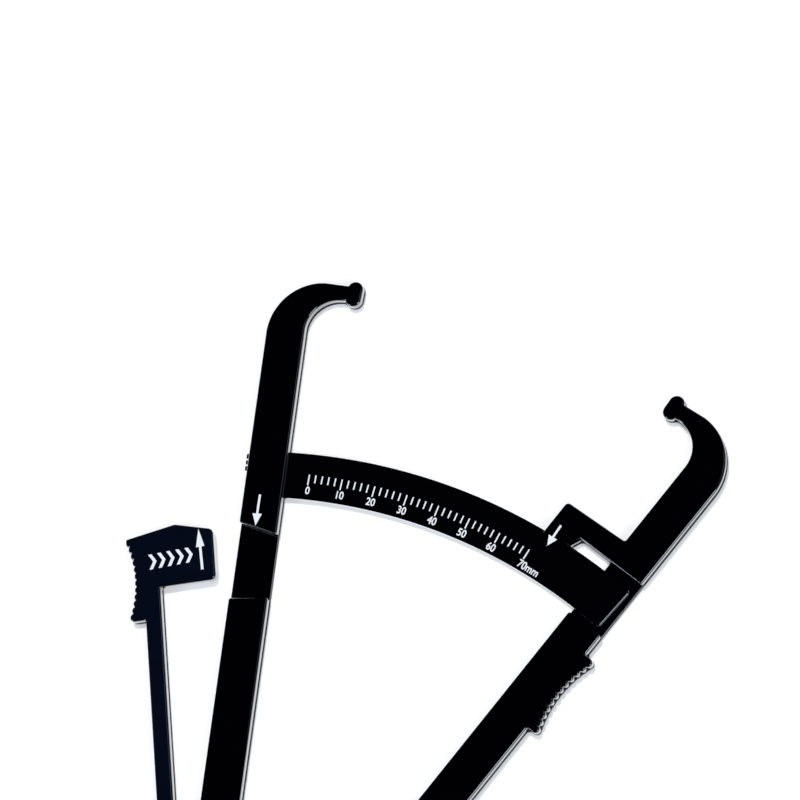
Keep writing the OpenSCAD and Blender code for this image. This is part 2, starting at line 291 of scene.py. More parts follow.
def plastic(name, dark, light, gloss):
    """Gloss plastic: base colour from dark to light, roughness about gloss, dust specks.

    A speck is where a Voronoi cell's distance is under DUST_R, in one cell out of ten.
    """
    m, t, shader = blank(name)
    place = node(t, "ShaderNodeTexCoord").outputs["Object"]
    cloud = node(t, "ShaderNodeTexNoise", {"Scale": 90.0, "Detail": 4.0, "Roughness": 0.6})
    hands = node(t, "ShaderNodeTexNoise", {"Scale": 38.0, "Detail": 2.0})
    waves = node(t, "ShaderNodeTexNoise", {"Scale": 140.0, "Detail": 1.0})
    grains = node(t, "ShaderNodeTexVoronoi", {"Scale": 210.0, "Randomness": 1.0})
    for n in (cloud, hands, waves, grains):
        t.links.new(place, n.inputs["Vector"])
    tint = node(t, "ShaderNodeMix", {"A": (*dark, 1), "B": (*light, 1)}, data_type="RGBA")
    t.links.new(cloud.outputs["Fac"], tint.inputs["Factor"])
    spot = maths(t, "LESS_THAN", grains.outputs["Distance"], DUST_R)
    split = node(t, "ShaderNodeSeparateColor")
    t.links.new(grains.outputs["Color"], split.inputs["Color"])
    rare = maths(t, "GREATER_THAN", split.outputs["Red"], DUST_FREE)
    dust = node(t, "ShaderNodeMix", {"B": DUST}, data_type="RGBA")
    t.links.new(maths(t, "MULTIPLY", spot, rare), dust.inputs["Factor"])
    t.links.new(tint.outputs["Result"], dust.inputs["A"])
    t.links.new(dust.outputs["Result"], shader.inputs["Base Color"])
    t.links.new(spread(t, hands.outputs["Fac"], gloss - 0.03, gloss + 0.05),
                shader.inputs["Roughness"])
    bump = node(t, "ShaderNodeBump", {"Strength": 0.02, "Distance": 0.0004})
    t.links.new(waves.outputs["Fac"], bump.inputs["Height"])
    t.links.new(bump.outputs["Normal"], shader.inputs["Normal"])
    for socket, value in GLOSS.items():
        shader.inputs[socket].default_value = value
    return m


# Name, darkest and lightest colour, roughness.
arm_black, bar_black, lever_black_painted_sheen = (plastic(*finish) for finish in (
    ("arm_black", (0.0002, 0.0002, 0.0006), (0.0006, 0.0006, 0.0018), 0.1),
    ("bar_black", (0.0003, 0.0003, 0.0008), (0.0008, 0.0008, 0.002), 0.12),
    # The lever's bluer, lighter colour is a painted reflection of bluish light on its face.
    ("lever_black_painted_sheen", (0.0014, 0.0028, 0.0085), (0.0024, 0.0042, 0.0125), 0.13)))
print("plastics:", arm_black.name, bar_black.name, lever_black_painted_sheen.name)

# %% [markdown]
# ## Hook and jaw pad
# Both arms end in the same hook: a quarter circle outside, a smaller one inside, and a
# short neck with a bulb of two round lobes. The flat between the lobes is the jaw face.
# The outline goes up the inner edge, round the bulb and back down the outer edge.

# %% The hook's outline
LOBE_R, LOBE_STEP, NECK_W = 1.8, 2.2, 3.4
PAD_Y = TIP_R * math.cos(math.radians(FACE)) + LOBE_R * math.sin(math.radians(FACE))
NECK_LOW, NECK_HIGH = PAD_Y - NECK_W / 2, PAD_Y + NECK_W / 2
HOOK_IN, HOOK_OUT, CREST_RISE = 7.1, 12.2, 0.6
IN_C = np.array([HOOK_IN, NECK_LOW - HOOK_IN])
OUT_C = np.array([HOOK_OUT - ARM_W, NECK_HIGH + CREST_RISE - HOOK_OUT])


def hook():
    """The hook's part of an arm's loop, from the inner edge round to the outer edge."""
    lobes = [(-LOBE_R, TIP_R - LOBE_STEP / 2), (-LOBE_R, TIP_R + LOBE_STEP / 2)]
    low, high = turned(lobes, -FACE)
    enter = 180 + math.degrees(math.asin((low[1] - NECK_LOW) / LOBE_R))
    crest = OUT_C + [0, HOOK_OUT]
    root = turned([(-LOBE_R, TIP_R)], -FACE)[0] * [1, 0] + [0, NECK_HIGH]
    slope = math.atan2(crest[1] - root[1], root[0] - crest[0])
    gap = (root[1] + (root[0] - high[0]) * math.tan(slope) - high[1]) * math.cos(slope)
    leave = 180 - math.degrees(slope) - math.degrees(math.asin(gap / LOBE_R))
    return np.vstack([
        arc(IN_C, HOOK_IN, 180, 90, 4),
        arc(low, LOBE_R, enter, 360 - FACE, 9),
        arc(high, LOBE_R, -FACE, leave, 9),
        arc(OUT_C, HOOK_OUT, 90, 180, 3),
    ])


print("hook:", len(hook()), "points, pad middle at y", round(PAD_Y, 2))

# %% [markdown]
# ## The scale arm
# It is one moulding, but three heights of plate: two full blocks, a thin strip between
# them where the lever's head is pressed home, and a half-height lug with a round hub at
# the pivot. A boolean could cut them out of one block. Stacking closed plates gives the
# same steps and keeps every edge soft. The strip runs a little way into both blocks.

# %% Scale arm
def tucked(loop, by=0.02):
    """A loop moved inwards a hair, so that it hides inside its neighbour."""
    return loop + by * inset(loop)


SUNK = 0.1


def cove(a, b, z, size):
    """A hollow fillet along a wall's foot from a to b, sunk a little into wall and floor.

    Its quarter circle is r (1 - sin s) away from the wall and r (1 - cos s) high.
    """
    a, b = np.array(a, float), np.array(b, float)
    along = (b - a) / np.hypot(*(b - a))
    out = np.array([along[1], -along[0]])
    s = np.radians(np.linspace(0, 90, 7))
    d = np.r_[size * (1 - np.sin(s))[::-1], size, -SUNK, -SUNK]
    h = np.r_[size * (1 - np.cos(s))[::-1], -SUNK, -SUNK, size]
    ends = [np.c_[p + d[:, None] * out, z + h] for p in (a, b)]
    n = len(d)
    i = np.arange(n)
    j = (i + 1) % n
    quads = np.stack([i, j, j + n, i + n], axis=1)
    tri = cap([np.c_[d, h]])
    return np.vstack(ends), quads, np.vstack([tri, tri[:, ::-1] + n])


# The recess's two steps, each at the arm's outer and inner edge. The thin strip runs LAP
# further into the block below.
JAW_OUTER, JAW_INNER, ROOT_OUTER, ROOT_INNER, LAP = 117.78, 115.46, 100.8, 101.5, 1.5
# Where the stub of the lever's strip meets the arm, above and below. Then how far the
# lug reaches up, and the round shoulder around the other arm's eye.
STUB_HIGH, STUB_LOW, LUG_Y, SHOULDER_R, TOE_Y = 27.55, 9.27, 12, 9.2, 2.33
HUB_R, HUB_GAP = 3.0, 0.05

stub_cut = on_lever([(HALF_BEAM, BEAM_END), (-HALF_BEAM, BEAM_END)])
shoulder_arc = arc((0, 0), SHOULDER_R, 165.3, 90, 4)
jaw_block = outline((-ARM_W, JAW_OUTER, CORNER), (0, JAW_INNER, CORNER), hook())
root_block = outline(
    (0, ROOT_INNER, CORNER), (-ARM_W, ROOT_OUTER, CORNER), (-ARM_W, STUB_HIGH, 0.25),
    *[tuple(p) for p in stub_cut], (-ARM_W, STUB_LOW), shoulder_arc)
press_strip = outline((-ARM_W, ROOT_OUTER - LAP), (0, ROOT_INNER - LAP), (0, 118),
                      (-ARM_W, 119.5))
eye = outline((0, LUG_Y), (-ARM_W, LUG_Y), arc((0, 0), EYE_R, 180, 450, 4))
hub = arc((0, 0), HUB_R, 5, 360, 5)
left_arm = put("scale_arm_moulding", [
    plate([jaw_block], 0, ARM_T),
    plate([tucked(press_strip)], 0.01, PLATE_T, 0.2),
    plate([root_block], 0, ARM_T, cuts=[stub_cut]),
    plate([tucked(eye)], 0.01, EYE_T, 0.2),
    plate([hub], EYE_T / 2, ARM_T, 0.2, 0),
    cove((-ARM_W + 0.3, JAW_OUTER - 0.08), (-0.3, JAW_INNER + 0.08), PLATE_T, 0.14),
], arm_black)
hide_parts("left_arm")
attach(left_arm, "scale_side")

# %% [markdown]
# ## The ribbed grips
# Both grips are a hollow row of twelve half-round ribs. One bow carries the ribs'
# centres, and neighbours meet in a sharp valley. The loop follows each rib from valley
# to valley, which a modifier could not do as cleanly.

# %% Ribs
RIBS, RIB_R = 12, 1.0


def ribs(corner, length, hollow, first):
    """A grip's left side from top to bottom; corner is the low end of its outer line.

    The centres lie on a bow of radius (c^2 / 4 + h^2) / 2h over the chord c, and a
    valley is where two circles cross, sqrt(r^2 - (gap / 2)^2) in front of their centres.
    """
    chord = length - 2 * RIB_R
    bow = (chord ** 2 / 4 + hollow ** 2) / (2 * hollow)
    half = math.asin(chord / 2 / bow)
    middle = np.array(corner) + [RIB_R + hollow - bow, length / 2]
    at = np.linspace(half, -half, RIBS)
    centres = middle + bow * np.stack([np.cos(at), np.sin(at)], axis=1)
    lean = half / (RIBS - 1)
    reach = math.degrees(math.acos(bow * math.sin(lean) / RIB_R) + lean)
    start = np.degrees(at) + 90 + reach
    end = np.degrees(at) + 270 - reach
    start[0], end[-1] = first, 270
    return np.vstack([arc(c, RIB_R, a, b, 14) for c, a, b in zip(centres, start, end)])


print("ribs:", len(ribs((0, 0), 19.8, 1.6, 90)), "points")

# %% [markdown]
# ## The pointer arm
# The same hook, with a flag on the inner edge that reaches over the scale. Its front
# layer is drawn down to a point, so the flag is two plates: the whole outline in front,
# and the outline without the point behind it. The finger grip stands out of the block
# below the scale. At the pivot its eye is the upper one, and turns round the hub.

# %% Pointer arm
SHOULDER, BLOCK_Y, FLAG_W = 136.6, 122.9, 15.6
FLAG_LOW, FLAG_HIGH, FLAG_ROOT = 132.5, 141.32, 142
POINTER, POINTER_ROOT = (12.9, 130.6, CORNER), (8.2, SHOULDER, 0.3)
GUIDE_R, GUIDE_SPAN, GUIDE_FOOT = BAR_OUT + 0.08, (3.8, 6.6), 0.06
GRIP_OUT, GRIP_Y, GRIP_LEN, GRIP_HOLLOW = 2.5, 97.9, 19.8, 1.6
flag_back = [(FLAG_W, FLAG_HIGH, 0.95), (0, FLAG_ROOT, 0.5)]
flag_front = outline(
    (-ARM_W, SHOULDER, CORNER), POINTER_ROOT, POINTER, (FLAG_W, FLAG_LOW, CORNER),
    *flag_back, hook())
guide = [turned((0, GUIDE_R), -lean) for lean in GUIDE_SPAN]
flag_rear = outline(
    (-ARM_W, SHOULDER, CORNER), (7.8, SHOULDER, 0.6),
    *[(*corner, 0.1) for corner in guide], *flag_back, hook())
grip_block = outline(
    (0, LUG_Y), (0, BLOCK_Y, CORNER), (-ARM_W, BLOCK_Y, CORNER),
    (-ARM_W, GRIP_Y + GRIP_LEN, 0.3),
    ribs((-ARM_W - GRIP_OUT, GRIP_Y), GRIP_LEN, GRIP_HOLLOW, 90),
    (-ARM_W, GRIP_Y, 0.3), (-ARM_W, LUG_Y))
bar_strip = outline((-ARM_W, BLOCK_Y - LAP), (0, BLOCK_Y - LAP), (0, SHOULDER + LAP),
                    (-ARM_W, SHOULDER + LAP))
toe = outline((0, LUG_Y), (-ARM_W, LUG_Y), (-ARM_W, TOE_Y), shoulder_arc)
bore = arc((0, 0), HUB_R + HUB_GAP, 360, 5, 5)
cut_line = on_right([(0, LUG_Y), (-ARM_W, LUG_Y)])[::-1]
rear = tucked(on_right(flag_rear), 0.008)
to_guide = [np.hypot(*(rear - corner).T) for corner in on_right(guide)]
rear_foot = np.where(np.min(to_guide, axis=0) < 0.4, GUIDE_FOOT, FOOT)
right_arm = put("pointer_arm_moulding", [
    plate([on_right(flag_front)], LIP_Z, ARM_T, foot=0),
    plate([rear], 0, LIP_Z + 0.1, 0, rear_foot),
    plate([tucked(on_right(bar_strip))], 0.01, PLATE_T, 0.2),
    plate([on_right(grip_block)], 0, ARM_T, cuts=[cut_line]),
    plate([on_right(toe)], 0, ARM_T - EYE_T - 0.02, top=0, cuts=[cut_line[::-1]]),
    plate([on_right(eye), on_right(bore)], ARM_T - EYE_T, ARM_T, foot=0,
          cuts=[cut_line[::-1]]),
], arm_black)
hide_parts("right_arm")
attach(right_arm, "pointer_side")

# %% [markdown]
# ## The scale bar
# A thin arc about the pivot. Its tang passes right through the scale arm and is slit into
# three prongs, and the barbs on the outer two hook behind the arm. A curve with a bevel
# would give the arc but not the prongs, so it is an outline again.

# %% Scale bar
TANG_Y, TANG_HALF, SLIT_AT, SLIT_HALF = 131.6, 1.8, 0.6583, 0.175
BARB_X, TIP_X, SEAT_X = -ARM_W - 0.05, -ARM_W - 0.65, -5.0
BARB_OVER, END_R, END_SOFT, SIDE_SOFT = 0.35, 0.8, 0.45, 0.04


def bar_end(radius, side):
    """One rounded corner of the bar's free end, touching its ray and its arc."""
    high = math.sqrt((radius - side * END_R) ** 2 - END_R * END_R)
    lean = math.degrees(math.atan2(END_R, high))
    span = (0, 90 + lean) if side > 0 else (-90 + lean, 0)
    return turned(arc((-END_R, high), END_R, *span, 10), -BAR_END)


def prong(y0, y1, barb):
    """A prong from its root to its tip and back; barb is how far it widens upwards."""
    top = [(BARB_X, y0), (BARB_X, y0 + barb), (TIP_X, y0)] if barb > 0 else [(TIP_X, y0)]
    low = [(TIP_X, y1), (BARB_X, y1 + barb), (BARB_X, y1)] if barb < 0 else [(TIP_X, y1)]
    return [(SEAT_X, y0)] + top + low + [(SEAT_X, y1)]


slits = [TANG_Y + s * SLIT_AT + k * SLIT_HALF for s in (1, -1) for k in (1, -1)]
levels = [TANG_Y + TANG_HALF, *slits, TANG_Y - TANG_HALF]
tang = [p for k, barb in enumerate((BARB_OVER, 0, -BARB_OVER))
        for p in prong(levels[2 * k], levels[2 * k + 1], barb)]
past_out, past_in = (90 + math.degrees(math.asin(-SEAT_X / r)) for r in (BAR_OUT, BAR_IN))
end = 90 - BAR_END + 0.5
bar_loop = outline(
    bar_end(BAR_IN, -1), bar_end(BAR_OUT, 1),
    arc((0, 0), BAR_OUT, end, past_out, 0.6), arc((0, 0), BAR_IN, past_in, end, 0.6))
tang_loop = outline((SEAT_X + 1, levels[0]), *tang, (SEAT_X + 1, levels[-1]))
from_end = turned(bar_loop, BAR_END)[:, 0]
bar_edge = np.where(from_end > -0.4, END_SOFT, SIDE_SOFT)
scale_bar = put("scale_bar_moulding", [
    plate([bar_loop], BAR_Z, BAR_Z + BAR_T, bar_edge, 0.1),
    plate([tang_loop], BAR_Z + 0.005, BAR_Z + BAR_T - 0.005, 0.15, 0.1)], bar_black)
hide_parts("scale_bar")
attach(scale_bar, "scale_side")

# %% [markdown]
# ## The thumb lever
# A long thin strip carries a ribbed grip and a roofed head. The strip grows out of the
# scale arm's side and bends, it has no hinge.

# %% Thumb lever
RIDGE = np.array([6.0, 71.0])
THUMB_X, THUMB_Y, HEAD_Y, HEAD_X, HEAD_R = -5.4, 50.2, 57.2, 14.6, 1.3
ROOF_SLOPE, THUMB_SLOPE, THUMB_HOLLOW, HALF_BEND = 14.6, 9.8, 1.5, 8


def roof(x):
    """Height of the head's upper edge, which falls from the ridge to both sides."""
    slope = ROOF_SLOPE if x > RIDGE[0] else THUMB_SLOPE
    return RIDGE[1] - abs(x - RIDGE[0]) * math.tan(math.radians(slope))


def stepped(loop, gap=1.0):
    """A loop with its long sides divided evenly into steps no longer than gap."""
    side = np.roll(loop, -1, axis=0) - loop
    parts = np.maximum(1, np.ceil(np.hypot(*side.T) / gap)).astype(int)
    owner = np.repeat(np.arange(len(loop)), parts)
    share = (np.arange(len(owner)) - (np.cumsum(parts) - parts)[owner]) / parts[owner]
    return loop[owner] + side[owner] * share[:, None]


thumb_side = [
    (THUMB_X, roof(THUMB_X), CORNER),
    ribs((THUMB_X, THUMB_Y), roof(THUMB_X) - THUMB_Y, THUMB_HOLLOW, 180),
    (-HALF_BEAM, THUMB_Y, 0.4)]
foot_end = [(-HALF_BEAM, BEAM_END), (HALF_BEAM, BEAM_END)]
head_loop = outline(
    *foot_end, (HALF_BEAM, HEAD_Y, 0.5), (HEAD_X, HEAD_Y, HEAD_R),
    (HEAD_X, roof(HEAD_X), HEAD_R), (*RIDGE, 0.8), *thumb_side)
strip_loop = outline(*foot_end, (HALF_BEAM, roof(HALF_BEAM)), *thumb_side)
lever_cut = on_lever(foot_end)
head_level = stepped(on_lever(head_loop))
strip_level = tucked(stepped(on_lever(strip_loop)), 0.008)
lever = put("thumb_lever_moulding", [
    plate([head_level], BAR_Z, ARM_T, foot=0, cuts=[lever_cut]),
    plate([strip_level], 0, BAR_Z + 0.1, top=0, cuts=[lever_cut]),
], lever_black_painted_sheen)
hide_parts("thumb_lever")
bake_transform(lever)

# %% [markdown]
# ## The pivot
# The photo stops above the pivot, so the washer and screw are plain turned parts. Both
# are profiles spun about the Z axis. The screw's head is a low dome, and its cross recess
# is a second height function taken away from the dome on the same polar grid.

# %% Washer and screw
def spun(profile, count=96):
    """A ring: the closed profile (r, z) at angles a, as (r cos a, r sin a, z)."""
    profile = np.asarray(profile, float)
    a = np.linspace(0, 2 * np.pi, count, endpoint=False)[:, None]
    r, z = profile[:, 0][None], profile[:, 1][None]
    points = np.stack([r * np.cos(a), r * np.sin(a), z + 0 * a], axis=2).reshape(-1, 3)
    n = len(profile)
    i, j = np.meshgrid(np.arange(count), np.arange(n), indexing="ij")
    ii, jj = (i + 1) % count, (j + 1) % n
    quads = np.stack([i * n + j, ii * n + j, ii * n + jj, i * n + jj], axis=2)
    return points, quads.reshape(-1, 4), np.empty((0, 3), int)


CROSS_W, CROSS_L, CROSS_D = 0.33, 1.5, 0.65


def screw_head(radius, low, height, rows=64, count=160):
    """A dome r = R sin^0.6 u, z = h cos^0.7 u, less the cross, closed by a flat base.

    The cross is CROSS_D deep where |x| or |y| is under CROSS_W and both under CROSS_L,
    and its walls slope up from there.
    """
    u = np.radians(np.linspace(2, 90, rows))[:, None]
    a = np.linspace(0, 2 * np.pi, count, endpoint=False)[None]
    r = radius * np.sin(u) ** 0.6
    x, y = r * np.cos(a), r * np.sin(a)
    near, far = np.minimum(abs(x), abs(y)), np.maximum(abs(x), abs(y))
    cut = np.clip((CROSS_W - near) / 0.1, 0, 1) * np.clip((CROSS_L - far) / 0.35, 0, 1)
    z = low + height * np.maximum(np.cos(u), 0) ** 0.7 - CROSS_D * cut
    top = np.stack([x, y, z], axis=2).reshape(-1, 3)
    points = np.vstack([top, [[0, 0, low + height - CROSS_D], [0, 0, low]]])
    i, j = np.meshgrid(np.arange(rows - 1), np.arange(count), indexing="ij")
    k = (j + 1) % count
    here, below = i * count, (i + 1) * count
    quads = np.stack([here + j, below + j, below + k, here + k], axis=2)
    j = np.arange(count)
    k = (j + 1) % count
    rim = (rows - 1) * count
    pole, base = (np.full(count, rows * count + n) for n in (0, 1))
    caps = np.vstack([np.c_[pole, j, k], np.c_[base, rim + k, rim + j]])
    return points, quads.reshape(-1, 4), caps


def steel(name, tint, gloss):
    """Turned steel: fine rings about the Z axis in its roughness, and a cloudy tint."""
    m, t, shader = blank(name)
    place = node(t, "ShaderNodeTexCoord").outputs["Object"]
    rings = node(t, "ShaderNodeTexWave", {"Scale": 900.0, "Distortion": 1.5, "Detail": 2.0},
                 wave_type="RINGS", rings_direction="Z")
    cloud = node(t, "ShaderNodeTexNoise", {"Scale": 500.0, "Detail": 4.0})
    for n in (rings, cloud):
        t.links.new(place, n.inputs["Vector"])
    shade = node(t, "ShaderNodeMix", {"A": (*tint, 1), "B": (*[0.8 * c for c in tint], 1)},
                 data_type="RGBA")
    t.links.new(cloud.outputs["Fac"], shade.inputs["Factor"])
    t.links.new(shade.outputs["Result"], shader.inputs["Base Color"])
    t.links.new(spread(t, rings.outputs["Fac"], gloss, gloss + 0.15),
                shader.inputs["Roughness"])
    bump = node(t, "ShaderNodeBump", {"Strength": 0.15, "Distance": 0.00003})
    t.links.new(rings.outputs["Fac"], bump.inputs["Height"])
    t.links.new(bump.outputs["Normal"], shader.inputs["Normal"])
    shader.inputs["Metallic"].default_value = 1.0
    return m


plated = steel("plated_steel", (0.55, 0.55, 0.56), 0.32)
WASHER_LOW, WASHER_TOP, WASHER_R, HOLE_R = 2.85, 3.35, 5.0, 1.1
SCREW_R, SCREW_LOW, SCREW_HIGH, SCREW_HEAD_R, SCREW_HEAD_H = 1.05, 0.5, 3.45, 2.3, 1.2
washer = put("pivot_washer_turned", [spun([
    (HOLE_R, WASHER_LOW), (WASHER_R - 0.1, WASHER_LOW), (WASHER_R, WASHER_LOW + 0.1),
    (WASHER_R, WASHER_TOP - 0.12), (WASHER_R - 0.12, WASHER_TOP),
    (HOLE_R, WASHER_TOP)])], plated, 25)
screw = put("pivot_screw_turned", [
    screw_head(SCREW_HEAD_R, WASHER_TOP, SCREW_HEAD_H),
    spun([(0.02, SCREW_LOW), (SCREW_R, SCREW_LOW), (SCREW_R, SCREW_HIGH),
          (0.02, SCREW_HIGH)], 48)], plated)
for piece, solid in ((washer, "pivot_washer"), (screw, "pivot_screw")):
    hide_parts(solid)
    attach(piece, "scale_side")

# %% [markdown]
# ## The print
# Ticks, numbers and arrows are white ink stamped on the plastic. A texture would blur in
# a close view, so they are real layers of ink, INK_T thick, lying on the faces. The
# ticks are boxes turned about the pivot, one for every second millimetre of the reading.

# %% Ink, ticks and arrows
def ink(name):
    """White stamping ink, a little thinner in places."""
    m, t, shader = blank(name)
    place = node(t, "ShaderNodeTexCoord").outputs["Object"]
    grain = node(t, "ShaderNodeTexNoise", {"Scale": 1400.0, "Detail": 3.0})
    tone = node(t, "ShaderNodeMix", {"A": (0.84, 0.87, 0.9, 1), "B": (0.96, 0.97, 0.98, 1)},
                data_type="RGBA")
    t.links.new(place, grain.inputs["Vector"])
    t.links.new(grain.outputs["Fac"], tone.inputs["Factor"])
    t.links.new(tone.outputs["Result"], shader.inputs["Base Color"])
    t.links.new(spread(t, grain.outputs["Fac"], 0.4, 0.65), shader.inputs["Roughness"])
    return m


def boxes(corners, z0, z1):
    """Closed boxes on n flat outlines of four corners each."""
    n = len(corners)
    low, high = (np.concatenate([corners, np.full((n, 4, 1), z)], axis=2) for z in (z0, z1))
    points = np.concatenate([low, high], axis=1).reshape(-1, 3)
    one = np.array([[3, 2, 1, 0], [4, 5, 6, 7], [0, 1, 5, 4], [1, 2, 6, 5],
                    [2, 3, 7, 6], [3, 0, 4, 7]])
    quads = one[None] + 8 * np.arange(n)[:, None, None]
    return points, quads.reshape(-1, 4), np.empty((0, 3), int)


def arrow(tail, tip, shaft, head, length):
    """Arrow outline from tail to tip: two half widths, and the head's length."""
    tail, tip = np.array(tail, float), np.array(tip, float)
    d = (tip - tail) / np.hypot(*(tip - tail))
    n = np.array([-d[1], d[0]])
    neck = tip - length * d
    return np.array([tip, neck + head * n, neck + shaft * n, tail + shaft * n,
                     tail - shaft * n, neck - shaft * n, neck - head * n])


INK_SUNK, INK_T = 0.01, 0.02


def stamp(loop, z):
    """A layer of ink on the face at height z, sunk a little so that no gap shows."""
    return plate([loop], z - INK_SUNK, z + INK_T, top=0, foot=0)


# The print runs a little shorter than the true scale and sags towards the pivot.
TICK_0, TICK_OUT, TICK_HALF, TICK_LONG, TICK_SHORT = 2.37, 129.75, 0.155, 2.4, 1.78
PRINT_RUN, PRINT_SAG = 0.998, 0.0085
white_ink = ink("white_ink")
BAR_TOP = BAR_Z + BAR_T
reading = np.arange(0, 71, 2)
a = np.radians(TICK_0 + PRINT_RUN * reading * DEG_PER_MM)
spin = np.stack([np.stack([np.cos(a), -np.sin(a)], axis=1),
                 np.stack([np.sin(a), np.cos(a)], axis=1)], axis=1)
length = np.where(reading % 10 == 0, TICK_LONG, TICK_SHORT)[:, None]
x = TICK_HALF * np.array([-1, 1, 1, -1]) + 0 * length
y = (TICK_OUT - PRINT_SAG * reading)[:, None] - length * [1, 1, 0, 0]
corners = np.stack([x, y], axis=2) @ spin
ticks = put("scale_ticks", [boxes(corners, BAR_TOP - INK_SUNK, BAR_TOP + INK_T)], white_ink)
seat_arrow = put("seat_arrow", [stamp(
    arrow((-4.95, 124.24), (-5.0, 117.24), 0.25, 1.08, 2.71), ARM_T)], white_ink)
flag_arrow = put("flag_arrow", [stamp(
    on_right(arrow((13.25, 136.36), (12.82, 131.14), 0.25, 1.1, 2.2)), ARM_T)], white_ink)
lever_arrow = put("lever_arrow", [stamp(
    on_lever(arrow((11.75, 59.8), (11.43, 69.08), 0.3, 0.96, 4.08)), ARM_T)], white_ink)
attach(ticks, "scale_side")
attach(seat_arrow, "scale_side")
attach(flag_arrow, "pointer_side")
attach(lever_arrow, "lever")

# %% [markdown]
# ## The mark on the lever's head
# Five plain chevrons point the way that the head is pressed. Each one is six corners, and
# they differ only in their place along the row.

# %% Chevrons
CHEV_HALF, CHEV_W, CHEV_BAR, CHEV_STEP, CHEV_LEAN = 1.7, 1.0, 0.8, 2.08, 2.5
CHEV_AT = -0.3, 63.1
chevron = np.array([(0, -CHEV_HALF), (CHEV_BAR, -CHEV_HALF), (CHEV_BAR + CHEV_W, 0),
                    (CHEV_BAR, CHEV_HALF), (0, CHEV_HALF), (CHEV_W, 0)])
row = [turned(chevron + [k * CHEV_STEP, 0], CHEV_LEAN, CHEV_AT) for k in range(5)]
press_mark = put("press_mark", [stamp(on_lever(p), ARM_T) for p in row], white_ink)
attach(press_mark, "lever")

# %% [markdown]
# ## The numbers
# Blender's own typeface is close to the plain one of the scale. Each label is a text
# object made into a mesh at once, then turned to its place about the pivot. All of them
# are joined, so the numbers are one piece of ink like the ticks.

# %% Numbers
DIGIT, SPREAD_INK = 0.73, 0.02
NUMBER_H, NUMBER_W, NUMBER_OUT = 1.76, 0.86, 126.26
NUMBER_0, NUMBER_STEP, LAST_AT = TICK_0 + 0.08, 9.88, 26.8


def label(text, angle, radius):
    """The mesh of a text of height NUMBER_H, its middle at radius, turned clockwise.

    A digit is DIGIT times as high as the typeface's size, and SPREAD_INK thickens it.
    """
    curve = bpy.data.curves.new("label", "FONT")
    curve.body, curve.align_x, curve.extrude, curve.resolution_u = text, "CENTER", 0.5, 6
    curve.offset = SPREAD_INK
    holder = bpy.data.objects.new("label", curve)
    bpy.context.scene.collection.objects.link(holder)
    mesh = bpy.data.meshes.new_from_object(holder)
    bpy.data.objects.remove(holder)
    scale = NUMBER_H / DIGIT * MM
    grow = Matrix.Diagonal((scale * NUMBER_W, scale, INK_T * MM, 1))
    baseline, mid_ink = radius - NUMBER_H / 2, BAR_TOP + INK_T / 2
    place = Matrix.Translation((0, baseline * MM, mid_ink * MM))
    mesh.transform(Matrix.Rotation(-math.radians(angle), 4, "Z") @ place @ grow)
    return mesh


numbers = bmesh.new()
for k in range(8):
    text = f"{10 * k}mm" if k == 7 else str(10 * k)
    at = LAST_AT if k == 7 else NUMBER_0 + NUMBER_STEP * k * DEG_PER_MM
    mesh = label(text, at, NUMBER_OUT - 10 * k * PRINT_SAG)
    numbers.from_mesh(mesh)
    bpy.data.meshes.remove(mesh)
bmesh.ops.remove_doubles(numbers, verts=numbers.verts, dist=1e-6)
bmesh.ops.recalc_face_normals(numbers, faces=numbers.faces)
sheet = bpy.data.meshes.new("scale_numbers")
numbers.to_mesh(sheet)
numbers.free()
sheet.materials.append(white_ink)
scale_numbers = bpy.data.objects.new("scale_numbers", sheet)
bpy.context.scene.collection.objects.link(scale_numbers)
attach(scale_numbers, "scale_side")
print("numbers:", len(sheet.polygons), "faces")

# %% [markdown]
# ## The white sheet
# The caliper lies on a white glossy sheet. Black gloss shows only what it mirrors, so the
# sheet matters as much as the plastic: the arms' walls look at it and turn silver. More
# light would whiten it too, but would also lift the blacks. Instead the Light Path node
# adds a plain white glow for camera, mirrored and transmitted rays only. Where a wall
# meets the sheet the photo shows a thin dark line, which is painted shade: ambient
# occlusion paints it into the sheet's colour and glow, and mirrored rays see it wider.

# %% The sheet
def graded(tree, source, low, high, first, last=1.0):
    """Smooth step: first below the socket low, last above the socket high."""
    m = node(tree, "ShaderNodeMapRange", {"To Min": first, "To Max": last},
             interpolation_type="SMOOTHSTEP")
    for key, link in (("Value", source), ("From Min", low), ("From Max", high)):
        tree.links.new(link, m.inputs[key])
    return m.outputs["Result"]


WHITE, SEEN_GLOW, MIRRORED_GLOW, SHEET_ROUGH = 0.84, 0.34, 1.15, 0.12
# Painted shade at every foot: its reach, darkest level, start and softness, and how much
# wider mirrored rays see it.
LINE_W, LINE_DARK, LINE_AT, LINE_SOFT, MIRRORED_MORE = 0.0009, 0.02, 0.4, 0.16, 0.3


